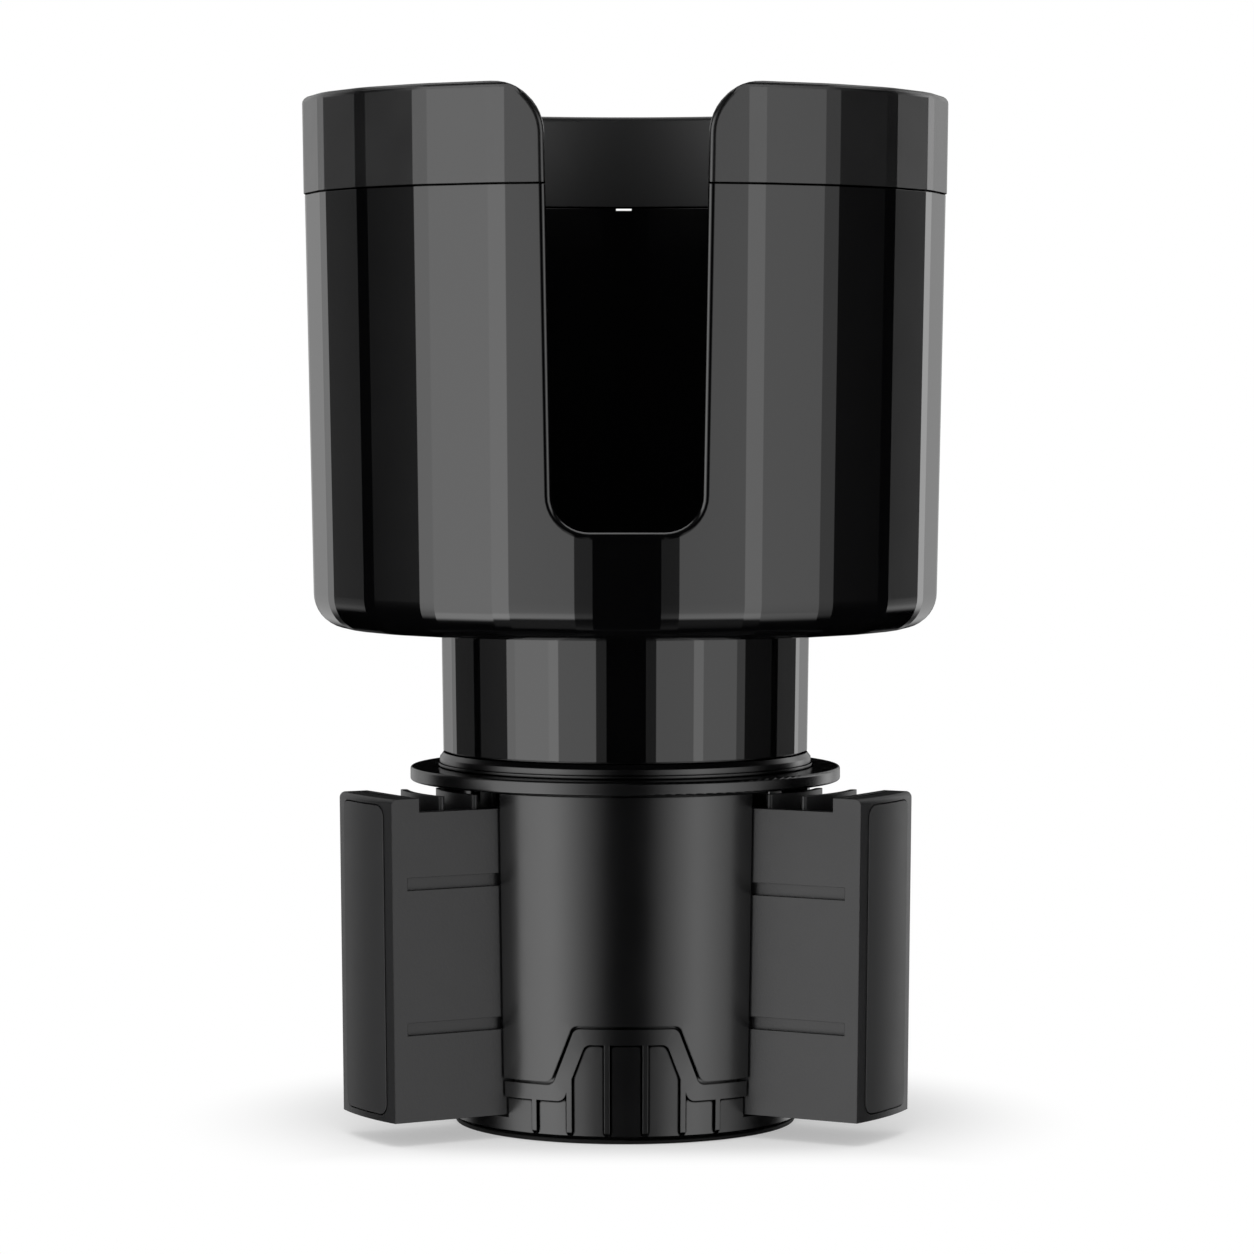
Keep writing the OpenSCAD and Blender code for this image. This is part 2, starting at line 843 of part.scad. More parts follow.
// The hollows of a jaw in plan, between its webs
module jaw_hollows() {
    half = jaw_w / 2 - jaw_wall;
    difference() {
        translate([jaw_in + jaw_wall, -half])
            square([block_in - jaw_in - jaw_wall, 2 * half]);
        for (r = teeth)
            tooth_plan(r, half + 1);
    }
    intersection() {
        translate([block_in + block_wall, -half])
            square([far, 2 * half]);
        circle(jaw_face(jaw_z) - jaw_wall - pad_t);
    }
}

// Radius of the jaw's outer face at a height
function jaw_face(z) = jaw_reach - (jaw_top - jaw_edge - z) * tan(jaw_draft);

// The pad's place on the jaw's outer face, grown by g, between two depths
module pad_zone(g, inner, outer) {
    half = jaw_w / 2 - pad_side + g;
    low = jaw_z + pad_end - g;
    high = jaw_top - pad_end + g;
    r = pad_r + g;
    intersection() {
        rotate([90, 0, 90])
            linear_extrude(far) {
                translate([-half + r, low])
                    square([2 * half - 2 * r, high - low]);
                translate([-half, low + r])
                    square([2 * half, high - low - 2 * r]);
                for (v = [-half + r, half - r], z = [low + r, high - r])
                    translate([v, z])
                        circle(r);
            }
        rotate_extrude()
            polygon([[jaw_face(0) + inner, 0], [jaw_face(0) + outer, 0],
                     [jaw_face(jaw_top) + outer, jaw_top], [jaw_face(jaw_top) + inner, jaw_top]]);
    }
}

module jaw() {
    color("#3a3a3b")
        difference() {
            union() {
                intersection() {
                    translate([jaw_in, -jaw_w / 2, 0])
                        cube([far, jaw_w, far]);
                    union() {
                        cylinder(r = far / 2, h = notch_z);
                        translate([block_in, -far / 2, 0])
                            cube([far, far, far]);
                    }
                    rotate_extrude() {
                        band(0, jaw_reach - jaw_edge, jaw_z, jaw_top);
                        polygon([[0, jaw_z], [jaw_face(jaw_z), jaw_z],
                                 [jaw_reach, jaw_top - jaw_edge], [0, jaw_top - jaw_edge]]);
                        translate([jaw_reach - jaw_edge, jaw_top - jaw_edge])
                            circle(jaw_edge);
                    }
                }
                for (i = [0 : len(teeth) - 1])
                    translate([0, 0, notch_z - 1])
                        linear_extrude(jaw_top - notch_z + 1)
                            tooth_plan(teeth[i], jaw_w / 2 - tooth_side[i] - tooth_t / 2);
            }
            translate([0, 0, jaw_z + jaw_wall])
                linear_extrude(far)
                    jaw_hollows();
            for (side = [[1, groove_low], [1, groove_left], [-1, groove_low], [-1, groove_right]])
                translate([jaw_in - 1, side.x > 0 ? jaw_w / 2 - groove_t : -jaw_w / 2 - 1,
                           jaw_z + side.y])
                    cube([groove_end - jaw_in + 1, groove_t + 1, groove_h]);
            pad_zone(pad_gap, -pad_t, 5);
        }
}

module jaw_pad() {
    color("#2b2b2c")
        pad_zone(0, bearing - pad_t, pad_proud);
}

cup_shell();
rim_ring();
floor_mat();
cup_screws();
neck_sleeve();
neck_screws();
scroll_plate();
centre_screw();
centre_washer();
thrust_washer();
housing();
base_cap();
cap_screws();
foot_pad();
rotate(jaw_angles[0]) jaw();  // jaw_1
rotate(jaw_angles[1]) jaw();  // jaw_2
rotate(jaw_angles[2]) jaw();  // jaw_3
rotate(jaw_angles[0]) jaw_pad();  // jaw_pad_1
rotate(jaw_angles[1]) jaw_pad();  // jaw_pad_2
rotate(jaw_angles[2]) jaw_pad();  // jaw_pad_3
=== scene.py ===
"""Looks of a car cup holder: a large faceted cup on a turning neck, over a base with three jaws.

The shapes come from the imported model. This file rounds the handle slot's edge and the cup's
foot, on copies of the cup and the ring, and adds the finishes, the pale stage, the soft light
and the camera. Lengths are in metres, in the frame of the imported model: Z is up and the handle
slot faces -Y.
"""

import math

import bmesh
import bpy
from mathutils import Matrix, Vector


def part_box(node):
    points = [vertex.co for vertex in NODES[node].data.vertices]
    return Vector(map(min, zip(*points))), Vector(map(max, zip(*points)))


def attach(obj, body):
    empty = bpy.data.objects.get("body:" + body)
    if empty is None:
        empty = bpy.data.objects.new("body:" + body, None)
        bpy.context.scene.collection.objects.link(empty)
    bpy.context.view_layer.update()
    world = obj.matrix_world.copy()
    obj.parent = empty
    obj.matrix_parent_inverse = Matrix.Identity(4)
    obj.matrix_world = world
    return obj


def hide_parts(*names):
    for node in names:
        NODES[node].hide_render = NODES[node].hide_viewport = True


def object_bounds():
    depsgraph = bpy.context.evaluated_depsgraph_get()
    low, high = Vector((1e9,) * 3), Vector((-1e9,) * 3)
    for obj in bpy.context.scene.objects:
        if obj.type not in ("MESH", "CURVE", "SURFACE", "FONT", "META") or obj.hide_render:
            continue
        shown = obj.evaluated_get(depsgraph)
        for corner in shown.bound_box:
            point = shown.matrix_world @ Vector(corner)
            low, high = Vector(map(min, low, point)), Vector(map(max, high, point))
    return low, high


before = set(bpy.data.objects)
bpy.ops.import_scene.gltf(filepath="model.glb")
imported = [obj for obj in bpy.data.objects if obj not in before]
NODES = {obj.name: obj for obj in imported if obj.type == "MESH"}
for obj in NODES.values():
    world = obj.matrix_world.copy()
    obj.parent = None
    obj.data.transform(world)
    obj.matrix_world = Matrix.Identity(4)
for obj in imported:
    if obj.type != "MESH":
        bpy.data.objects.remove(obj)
CAD_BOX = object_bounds()

bl_info = {
    "name": "Car Cup Holder Looks",
    "version": (1, 0, 0),
    "blender": (4, 5, 0),
    "location": "View3D > Sidebar > Cup Holder",
    "description": "Finishes, stage, light and camera for a car cup holder",
    "category": "Object",
}

MM = 0.001


# Shader maths


EDGE_SAMPLES = 6
CORNER_SAMPLES = 8
# The open shares of a point in a corner, and of one clear of it; between them the painted corner
# shade fades out.
CORNER_SHUT = 0.74
CORNER_OPEN = 0.88


class Signal:
    """An output socket. Sums and products of signals add Math nodes to its tree."""

    def __init__(self, graph, socket):
        self.graph = graph
        self.socket = socket

    def _math(self, operation, *values):
        sockets = dict(enumerate(values))
        return self.graph.node("ShaderNodeMath", {"operation": operation}, sockets)

    def __add__(self, other):
        return self._math("ADD", self, other)

    def __radd__(self, other):
        return self._math("ADD", other, self)

    def __sub__(self, other):
        return self._math("SUBTRACT", self, other)

    def __rsub__(self, other):
        return self._math("SUBTRACT", other, self)

    def __mul__(self, other):
        return self._math("MULTIPLY", self, other)

    def __neg__(self):
        return self._math("MULTIPLY", self, -1.0)

    def __pow__(self, other):
        return self._math("POWER", self, other)

    def __abs__(self):
        return self._math("ABSOLUTE", self)

    def highest(self, other):
        return self._math("MAXIMUM", self, other)

    def swing(self, amount):
        """Noise from 0 to 1 as a swing about zero."""
        return (self - 0.5) * amount

    def angle_from(self, other):
        """The angle of the point (other, self) around the origin, in radians."""
        return self._math("ARCTAN2", self, other)

    def step(self, low, high, kind="SMOOTHSTEP"):
        """0 below low, 1 above high, and a rise of some kind between them."""
        return self.graph.node(
            "ShaderNodeMapRange",
            {"interpolation_type": kind},
            {"Value": self, "From Min": low, "From Max": high, "To Min": 0.0, "To Max": 1.0},
        )

    def ramp(self, low, high):
        """0 below low, 1 above high, and a straight rise between them."""
        return self.step(low, high, "LINEAR")


class Graph:
    """The node tree of one material or of the world."""

    def __init__(self, tree):
        self.tree = tree
        tree.nodes.clear()

    def node(self, kind, settings=None, sockets=None, output=0):
        """Adds a node with its settings and its sockets' values or links, and gives one output."""
        made = self.tree.nodes.new(kind)
        for name, value in (settings or {}).items():
            setattr(made, name, value)
        for key, value in (sockets or {}).items():
            socket = made.inputs[key]
            if isinstance(value, Signal):
                self.tree.links.new(value.socket, socket)
            else:
                socket.default_value = value
        return Signal(self, made.outputs[output]) if made.outputs else None

    def position(self):
        """The point on the piece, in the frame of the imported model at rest."""
        return self.node("ShaderNodeTexCoord", output="Object")

    def parts(self, vector):
        """The three parts of a vector."""
        made = self.tree.nodes.new("ShaderNodeSeparateXYZ")
        self.tree.links.new(vector.socket, made.inputs[0])
        return [Signal(self, socket) for socket in made.outputs]

    def noise(self, vector, size, detail=2.0):
        """Noise from 0 to 1 with grains of a size in metres."""
        sockets = {"Vector": vector, "Scale": 1.0 / size, "Detail": detail}
        return self.node("ShaderNodeTexNoise", None, sockets, "Fac")

    def mix_colour(self, factor, low, high):
        """A colour between two, by a factor."""
        return self.node(
            "ShaderNodeMix", {"data_type": "RGBA"}, {0: factor, 6: low, 7: high}, 2)

    def tones(self, factor, colour, low, high):
        """The colour times low to high, by a factor."""
        return self.mix_colour(factor, shade(colour, low), shade(colour, high))

    def bump(self, height, depth, normal):
        """Tilts a normal by a height of 0 to 1 that stands for a depth in metres."""
        sockets = {"Height": height, "Distance": depth, "Strength": 1.0, "Normal": normal}
        return self.node("ShaderNodeBump", None, sockets, "Normal")

    def soft_edges(self, radius):
        """A normal that rounds the piece's sharp edges."""
        return self.node(
            "ShaderNodeBevel", {"samples": EDGE_SAMPLES}, {"Radius": radius}, "Normal")

    def corners(self, distance):
        """Painted shade: 1 in the piece's inner corners, 0 in the open; the distance sets how wide
        they are.
        """
        open_share = self.node(
            "ShaderNodeAmbientOcclusion", {"samples": CORNER_SAMPLES, "only_local": True},
            {"Distance": distance}, "AO")
        return 1.0 - open_share.step(CORNER_SHUT, CORNER_OPEN)

    def seen(self):
        """1 for rays from the camera, straight or by way of a gloss or a clear piece."""
        seen = self.node("ShaderNodeLightPath", output="Is Camera Ray")
        for ray in ("Is Glossy Ray", "Is Transmission Ray"):
            seen = seen.highest(self.node("ShaderNodeLightPath", output=ray))
        return seen

    def principled(self, tone, gloss, normal, others):
        """A Principled shader, with the values of its other sockets."""
        sockets = {"Base Color": tone, "Roughness": gloss, "Normal": normal, **others}
        return self.node("ShaderNodeBsdfPrincipled", None, sockets)

    def surface(self, shader, kind="ShaderNodeOutputMaterial"):
        """Ends the tree with a shader."""
        self.node(kind, None, {"Surface": shader})


def new_material(name):
    material = bpy.data.materials.new(name)
    material.use_nodes = True
    return material, Graph(material.node_tree)


def dress(pieces, material):
    """Gives the material to every slot of the pieces, which are nodes' names or objects."""
    for piece in pieces:
        mesh = (NODES[piece] if isinstance(piece, str) else piece).data
        if not mesh.materials:
            mesh.materials.append(material)
        for i in range(len(mesh.materials)):
            mesh.materials[i] = material


def shade(colour, factor=1.0):
    """A property's colour as a socket takes it."""
    return (colour[0] * factor, colour[1] * factor, colour[2] * factor, 1.0)


def from_axis(x, y):
    """The distance of a point from the Z axis."""
    return (x * x + y * y) ** 0.5


# Meshes and objects


def finished_mesh(name, built):
    """The mesh that was being built."""
    mesh = bpy.data.meshes.new(name)
    built.to_mesh(mesh)
    built.free()
    return mesh


def add_object(name, data):
    """A new object in the scene."""
    made = bpy.data.objects.new(name, data)
    bpy.context.scene.collection.objects.link(made)
    return made


# Rounded copies


# How the triangles of a flat are joined.
WELD = 0.0005 * MM
FLAT_ANGLE = math.radians(0.2)

# Where the handle slot's outer edge lies. Of the normals of its two faces, the wall's has a Y
# part below the one limit, and the slot side's has one nearer to zero than the other.
SLOT_ZONE = 20 * MM
OUTER_SHARE = 0.975
WALL_FACING = -0.5
SIDE_FACING = 0.03

# The rounding of that edge. It narrows to a share of its radius at its upper end.
BEVEL_STEPS = 6
END_WEIGHT = 0.65
CUP_TAPER = 0.1 * MM
RING_TAPER = 1.6 * MM

# How far from the cup's top the rounding stops below it and starts again above it, and how
# far above it the ring's outer wall begins.
CUP_BELOW_SEAM = 0.1 * MM
RING_ABOVE_SEAM = 0.32 * MM
SEAM_GAP = 0.3 * MM

# Faces shaded as flats: large, not slender (by perimeter squared over area), and not turned
# towards the axis more than this.
FLAT_AREA = 30 * MM * MM
SLENDER = 250
INWARDS = -0.5

# Edges shaded as sharp: real corners, and turns between facets that both face outwards.
CORNER_ANGLE = math.radians(25)
FACET_ANGLE = math.radians(3)
OUTWARDS = 0.02

# The cup's facets face this squarely away from the axis and lie about this far from it,
# unlike its bore and its boss.
FACET_SQUARE = 0.97
FACET_REACH = 45 * MM

# The solid that cuts the faceted fillet: its steps, the angle that it turns through, the slack
# that keeps its top off the cup's own facets, and how far it goes on above and below the
# fillet, first as a short step and then past the rim and past the boss.
FILLET_STEPS = 10
FILLET_TURN = math.radians(86)
FILLET_SLACK = 0.004 * MM
STEP_UP = 1 * MM
STEP_OUT = 2 * MM
CUTTER_UP = 100 * MM
CUTTER_OUT = 20 * MM
STEP_DOWN = 0.5 * MM
STEP_IN = 3 * MM
CUTTER_DOWN = 20 * MM


def outward(point):
    """The direction from the axis to a point."""
    return Vector((point.x, point.y, 0.0)).normalized()


def middle_of(edge):
    """The point halfway along an edge."""
    return (edge.verts[0].co + edge.verts[1].co) / 2


def joined_flats(node_name):
    """A node's shape, with the triangles of each flat joined into one face."""
    built = bmesh.new()
    built.from_mesh(NODES[node_name].data)
    bmesh.ops.remove_doubles(built, verts=built.verts, dist=WELD)
    bmesh.ops.dissolve_limit(
        built, angle_limit=FLAT_ANGLE, use_dissolve_boundaries=False,
        verts=built.verts, edges=built.edges, delimit=set())
    built.normal_update()
    return built


def on_slot_outline(edge, low, high, outer):
    """Whether an edge lies on the outer edge of the handle slot, from low to high."""
    middle = middle_of(edge)
    if not (low < middle.z < high and abs(middle.x) < SLOT_ZONE and middle.y < -SLOT_ZONE):
        return False
    if math.hypot(middle.x, middle.y) < outer:
        return False
    wall, side = sorted((face.normal.y for face in edge.link_faces), key=abs, reverse=True)
    return wall < WALL_FACING and abs(side) < SIDE_FACING


def mark_sharp_edges(mesh, fillet_top):
    """Smooth shading, with sharp edges at the flats, at real corners and between facets."""
    built = bmesh.new()
    built.from_mesh(mesh)
    flats = set()
    for face in built.faces:
        face.smooth = True
        area = face.calc_area()
        facing = face.normal.dot(outward(face.calc_center_median()))
        slender = face.calc_perimeter() ** 2 > SLENDER * area
        if area > FLAT_AREA and facing > INWARDS and not slender:
            flats.add(face)
    for edge in built.edges:
        at_flat = any(face in flats for face in edge.link_faces)
        sharp = at_flat or edge.calc_face_angle(math.pi) > CORNER_ANGLE
        middle = middle_of(edge)
        if not sharp and middle.z < fillet_top and edge.is_manifold:
            turns = [face.normal.to_2d() for face in edge.link_faces]
            out = [turn.dot(outward(middle).to_2d()) for turn in turns]
            sharp = min(out) > OUTWARDS and turns[0].angle(turns[1]) > FACET_ANGLE
        edge.smooth = not sharp
    built.to_mesh(mesh)
    built.free()


def facet_planes(built, height):
    """The flat facets round a shape: angle, direction, and distance from the axis at a height."""
    planes = []
    for face in built.faces:
        across = face.normal.to_2d()
        middle = face.calc_center_median()
        low = min(vert.co.z for vert in face.verts)
        reach = FACET_SQUARE * middle.to_2d().length
        outer = across.dot(middle.to_2d()) > reach > FACET_REACH
        if not outer or low > height or face.calc_area() < FLAT_AREA:
            continue
        lean = face.normal.z / across.length
        direction = across.normalized()
        planes.append((math.atan2(direction.y, direction.x), direction,
                       direction.dot(middle.to_2d()) + lean * (middle.z - height)))
    planes.sort(key=lambda plane: plane[0])
    return planes


def facet_ring(planes, inset):
    """The corners where neighbouring facets meet, moved inwards."""
    corners = []
    for (_, n1, d1), (_, n2, d2) in zip(planes, planes[1:] + planes[:1]):
        cross = n1.x * n2.y - n1.y * n2.x
        d1, d2 = d1 - inset, d2 - inset
        corners.append(((d1 * n2.y - d2 * n1.y) / cross, (d2 * n1.x - d1 * n2.x) / cross))
    return corners


def faceted_fillet(planes, top, radius):
    """A solid whose foot is rounded facet by facet, wider than the cup above the fillet."""
    levels = [(top + CUTTER_UP, -CUTTER_OUT), (top + STEP_UP, -STEP_OUT)]
    for i in range(FILLET_STEPS):
        angle = FILLET_TURN * i / (FILLET_STEPS - 1)
        inset = radius * (1 - math.cos(angle)) - FILLET_SLACK
        levels.append((top - radius * math.sin(angle), inset))
    foot = levels[-1][1] + STEP_IN
    levels.append((top - radius - STEP_DOWN, foot))
    levels.append((top - radius - CUTTER_DOWN, foot))
    built = bmesh.new()
    rings = [[built.verts.new((x, y, z)) for x, y in facet_ring(planes, inset)]
             for z, inset in levels]
    for upper, lower in zip(rings, rings[1:]):
        for i in range(len(upper)):
            j = (i + 1) % len(upper)
            built.faces.new((lower[i], lower[j], upper[j], upper[i]))
    built.faces.new(rings[0])
    built.faces.new(rings[-1][::-1])
    return add_object("fillet", finished_mesh("fillet", built))


def rounded_copy(name, node_name, low, high, taper, radius, fillet_top=0.0, fillet_radius=0.0):
    """A copy of a node with the handle slot's outer edge rounded; it stands for the node.

    The rounded edge goes from low to high, and narrows over the taper below high. With a
    fillet radius, the copy's foot is rounded facet by facet too.
    """
    built = joined_flats(node_name)
    outer = OUTER_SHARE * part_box(node_name)[1][0]
    weight = built.edges.layers.float.new("bevel_weight_edge")
    for edge in built.edges:
        if on_slot_outline(edge, low, high, outer):
            height = (edge.verts[0].co.z + edge.verts[1].co.z) / 2
            edge[weight] = min(1.0, max(END_WEIGHT, (high - height) / taper))
    cutter = None
    if fillet_radius:
        planes = facet_planes(built, fillet_top)
        cutter = faceted_fillet(planes, fillet_top, fillet_radius)
    piece = add_object(name, finished_mesh(name, built))
    bevel = piece.modifiers.new("slot edge", "BEVEL")
    bevel.limit_method = "WEIGHT"
    bevel.offset_type = "OFFSET"
    bevel.width = radius
    bevel.segments = BEVEL_STEPS
    bevel.use_clamp_overlap = False
    bevel.loop_slide = False
    if cutter:
        cut = piece.modifiers.new("fillet", "BOOLEAN")
        cut.operation = "INTERSECT"
        cut.solver = "EXACT"
        cut.object = cutter
    depsgraph = bpy.context.evaluated_depsgraph_get()
    piece.data = bpy.data.meshes.new_from_object(piece.evaluated_get(depsgraph))
    piece.data.name = name
    piece.modifiers.clear()
    if cutter:
        bpy.data.objects.remove(cutter)
    mark_sharp_edges(piece.data, fillet_top)
    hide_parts(node_name)
    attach(piece, "cup")
    return piece


# Finishes


PLASTIC_IOR = 1.5
RUBBER_IOR = 1.5

# The sizes of the slow changes in gloss and tone.
MOULDED_CLOUD = 9 * MM
JAW_CLOUD = 6 * MM
RUBBER_CLOUD = 5 * MM
ZINC_CLOUD = 0.8 * MM

# The ring's bore: how soon it begins, its tone and what it adds to the roughness.
BORE_FADE = 0.2 * MM
BORE_TONE = 1.8
BORE_ROUGHNESS = 0.22

# Painted shade: how soon the seam's begins, the tone of all of it, and how far it reaches into the
# flange's and the cap's inner corners.
SEAM_SHADE_FADE = 0.03 * MM
PAINTED_SHADE_TONE = 0.1
FLANGE_SHADE_REACH = 0.5 * MM
CAP_SHADE_REACH = 0.7 * MM

# Specular levels below the usual half.
JAW_SHINE = 0.32
FOOT_SHINE = 0.12

PAD_GRAIN = 0.25 * MM
PAD_GRAIN_DEPTH = 0.004 * MM
FOOT_GRAIN = 0.4 * MM
FOOT_GRAIN_DEPTH = 0.01 * MM
STEEL_ROUGHNESS = 0.32
ACETAL_ROUGHNESS = 0.35


def moulded_plastic(name, colour, roughness, grain, grain_depth, edge, ring=None, corner=None):
    """Moulded plastic: near black, with slightly uneven gloss and a fine grain.

    A ring is the radius of its bore and the height of its outer wall's foot. Inside the bore
    the surface is duller and slightly paler, and outside it, below the wall, the seam's gap
    gets painted shade: a black matte surface mixed in. Inner corners get painted shade too,
    over the distance corner.
    """
    material, graph = new_material(name)
    place = graph.position()
    cloud = graph.noise(place, MOULDED_CLOUD, 3.0)
    fine = graph.noise(place, grain)
    tone = graph.tones(cloud, colour, 0.85, 1.15)
    gloss = (cloud.swing(0.3) + fine.swing(0.2) + 1.0) * roughness
    # The mask of the painted shade: the inner corners, or, on a ring, the seam's gap.
    painted_shade = None
    if corner is not None:
        painted_shade = graph.corners(corner)
    if ring is not None:
        bore, foot = ring
        x, y, z = graph.parts(place)
        inside = 1.0 - from_axis(x, y).step(bore, bore + BORE_FADE)
        tone = graph.mix_colour(inside, tone, shade(colour, BORE_TONE))
        gloss = gloss + inside * BORE_ROUGHNESS
        # Painted shade in the seam's gap, below the ring's outer wall and outside the bore.
        painted_shade = (1.0 - z.step(foot - SEAM_SHADE_FADE, foot)) * (1.0 - inside)
    normal = graph.bump(fine, grain_depth, graph.soft_edges(edge))
    shader = graph.principled(tone, gloss, normal, {"IOR": PLASTIC_IOR})
    # Painted shade: where the mask is, a black matte surface is mixed in.
    if painted_shade is not None:
        painted_shade_surface = graph.node("ShaderNodeBsdfDiffuse", None, {"Color": shade(colour, PAINTED_SHADE_TONE)})
        shader = graph.node("ShaderNodeMixShader", None, {0: painted_shade, 1: shader, 2: painted_shade_surface})
    graph.surface(shader)
    return material


def jaw_plastic(name, settings):
    """The jaws' plastic: a fine spark grain all over."""
    material, graph = new_material(name)
    place = graph.position()
    cloud = graph.noise(place, JAW_CLOUD, 3.0)
    spark = graph.noise(place, settings.spark_size, 3.0)
    gloss = settings.jaw_roughness + cloud.swing(0.05) + spark.swing(0.1)
    tone = graph.tones(spark, settings.jaw_colour, 0.7, 1.3)
    normal = graph.bump(spark, settings.spark_depth, graph.soft_edges(settings.edge))
    graph.surface(graph.principled(
        tone, gloss, normal, {"IOR": PLASTIC_IOR, "Specular IOR Level": JAW_SHINE}))
    return material


def rubber(name, colour, roughness, grain, depth, edge, shine=0.5):
    """Moulded rubber: matte, with a fine even grain."""
    material, graph = new_material(name)
    place = graph.position()
    cloud = graph.noise(place, RUBBER_CLOUD)
    fine = graph.noise(place, grain)
    tone = graph.tones(cloud * 0.5 + fine * 0.5, colour, 0.8, 1.25)
    gloss = roughness + cloud.swing(0.06) + fine.swing(0.08)
    normal = graph.bump(fine, depth, graph.soft_edges(edge))
    graph.surface(graph.principled(
        tone, gloss, normal, {"IOR": RUBBER_IOR, "Specular IOR Level": shine}))
    return material


def zinc_steel(name, colour, roughness, edge):
    """Zinc plate: bright, slightly mottled."""
    material, graph = new_material(name)
    cloud = graph.noise(graph.position(), ZINC_CLOUD, 4.0)
    tone = graph.tones(cloud, colour, 0.85, 1.1)
    gloss = roughness + cloud.swing(0.15)
    graph.surface(graph.principled(tone, gloss, graph.soft_edges(edge), {"Metallic": 1.0}))
    return material


# Settings


def size_value(label, help_text, default):
    return bpy.props.FloatProperty(
        name=label, description=help_text, default=default, min=0.0, max=10.0,
        subtype="DISTANCE", unit="LENGTH", precision=5)


def share(label, help_text, default):
    return bpy.props.FloatProperty(
        name=label, description=help_text, default=default, min=0.0, max=1.0, subtype="FACTOR")


def colour_value(label, help_text, default):
    return bpy.props.FloatVectorProperty(
        name=label, description=help_text, default=default, min=0.0, max=1.0,
        size=3, subtype="COLOR")


class CupHolderFinishes(bpy.types.PropertyGroup):
    """Colours and grains of the object's plastics, rubbers and metal."""

    cup_colour: colour_value("Cup Colour", "Plastic of the cup and its neck",
                             (0.0016, 0.0016, 0.0018))
    cup_roughness: share("Cup Roughness", "Gloss of the cup's flat facets", 0.1)
    ring_colour: colour_value("Ring Colour", "Plastic of the rim ring", (0.005, 0.005, 0.0052))
    ring_roughness: share("Ring Roughness", "Gloss of the rim ring", 0.24)
    base_colour: colour_value("Base Colour", "Plastic of the housing, cap and scroll plate",
                              (0.0018, 0.0018, 0.002))
    base_roughness: share("Base Roughness", "Gloss of the base's smooth walls", 0.23)
    grain: size_value("Grain", "Size of the moulded grain", 0.35 * MM)
    grain_depth: size_value("Grain Depth", "Depth of the moulded grain", 0.0005 * MM)
    edge: size_value("Edge Radius", "Radius that softens sharp edges", 0.15 * MM)
    base_edge: size_value("Housing Edge Radius", "Radius round the housing's edges", 0.22 * MM)
    slot_edge: size_value("Slot Edge Radius", "Radius round the handle slot", 1.1 * MM)
    fillet_top: size_value("Fillet Top", "Height where the facets turn in", 90 * MM)
    fillet_radius: size_value("Fillet Radius", "Radius of the facets' turn", 6 * MM)
    slot_from: size_value("Slot Foot", "Height just under the slot's foot", 101 * MM)
    ring_to: size_value("Slot Top", "Height where the slot's edge meets the rim", 171.75 * MM)
    ring_bore: size_value("Ring Bore", "Radius inside which the ring is duller", 51.7 * MM)
    jaw_colour: colour_value("Jaw Colour", "Plastic of the jaws", (0.010, 0.010, 0.0105))
    jaw_roughness: share("Jaw Roughness", "Gloss of the jaws", 0.38)
    spark_size: size_value("Spark Size", "Size of the texture on the jaws' sides", 0.45 * MM)
    spark_depth: size_value("Spark Depth", "Depth of that texture", 0.02 * MM)
    pad_colour: colour_value("Pad Colour", "Rubber of the jaws' pads", (0.010, 0.010, 0.0105))
    pad_roughness: share("Pad Roughness", "Gloss of the pads", 0.46)
    foot_colour: colour_value("Foot Colour", "Rubber of the foot and the floor mat",
                              (0.0015, 0.0015, 0.0015))
    foot_roughness: share("Foot Roughness", "Gloss of the foot and the floor mat", 0.6)
    steel_colour: colour_value("Steel Colour", "Zinc plate of the screws", (0.62, 0.63, 0.65))
    acetal_colour: colour_value("Washer Colour", "Acetal of the bearing washer",
                                (0.70, 0.70, 0.66))


class CupHolderStage(bpy.types.PropertyGroup):
    """Floor, light and camera."""

    floor_colour: colour_value("Floor Colour", "Pale floor", (0.96, 0.96, 0.96))
    floor_radius: size_value("Floor Radius", "Radius of the floor", 0.9)
    ambient: share("Ambient Light", "Strength of the even light from all round", 0.6)
    roof_power: bpy.props.FloatProperty(
        name="Roof Lamp", description="Power of the soft lamp overhead", default=11.0,
        min=0.0, max=500.0, subtype="POWER", unit="POWER")
    wall_radius: size_value("Light Wall Radius", "Distance of the softbox wall", 1.6)
    camera_distance: size_value("Camera Distance", "Distance from the axis", 0.806)
    camera_height: size_value("Camera Height", "Height above the floor", 0.1241)
    camera_turn: bpy.props.FloatProperty(
        name="Camera Turn", description="How far the camera stands round to the right",
        default=math.radians(-0.3), min=-3.2, max=3.2, subtype="ANGLE", unit="ROTATION")
    camera_side: bpy.props.FloatProperty(
        name="Camera Side", description="Sideways shift of the camera", default=0.0003,
        min=-1.0, max=1.0, subtype="DISTANCE", unit="LENGTH", precision=5)
    camera_pitch: bpy.props.FloatProperty(
        name="Camera Pitch", description="How far the camera looks down",
        default=math.radians(2.856), min=0.0, max=1.5, subtype="ANGLE", unit="ROTATION")
    camera_lens: bpy.props.FloatProperty(
        name="Lens", description="Focal length for a 36 mm sensor", default=136.4,
        min=10.0, max=500.0, subtype="DISTANCE_CAMERA")


# Operators


class CUPHOLDER_OT_cup(bpy.types.Operator):
    """Finish the cup and its neck in glossy moulded plastic"""

    bl_idname = "cupholder.cup"
    bl_label = "Finish Cup and Neck"

    def execute(self, context):
        s = context.scene.cupholder_finishes
        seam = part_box("cup_shell")[1][2]
        cup = rounded_copy(
            "cup_shell_rounded", "cup_shell", s.slot_from, seam - CUP_BELOW_SEAM, CUP_TAPER,
            s.slot_edge, s.fillet_top, s.fillet_radius)
        dress([cup, "neck_sleeve"], moulded_plastic(
            "cup plastic", s.cup_colour, s.cup_roughness, s.grain, s.grain_depth, s.edge))
        return {"FINISHED"}


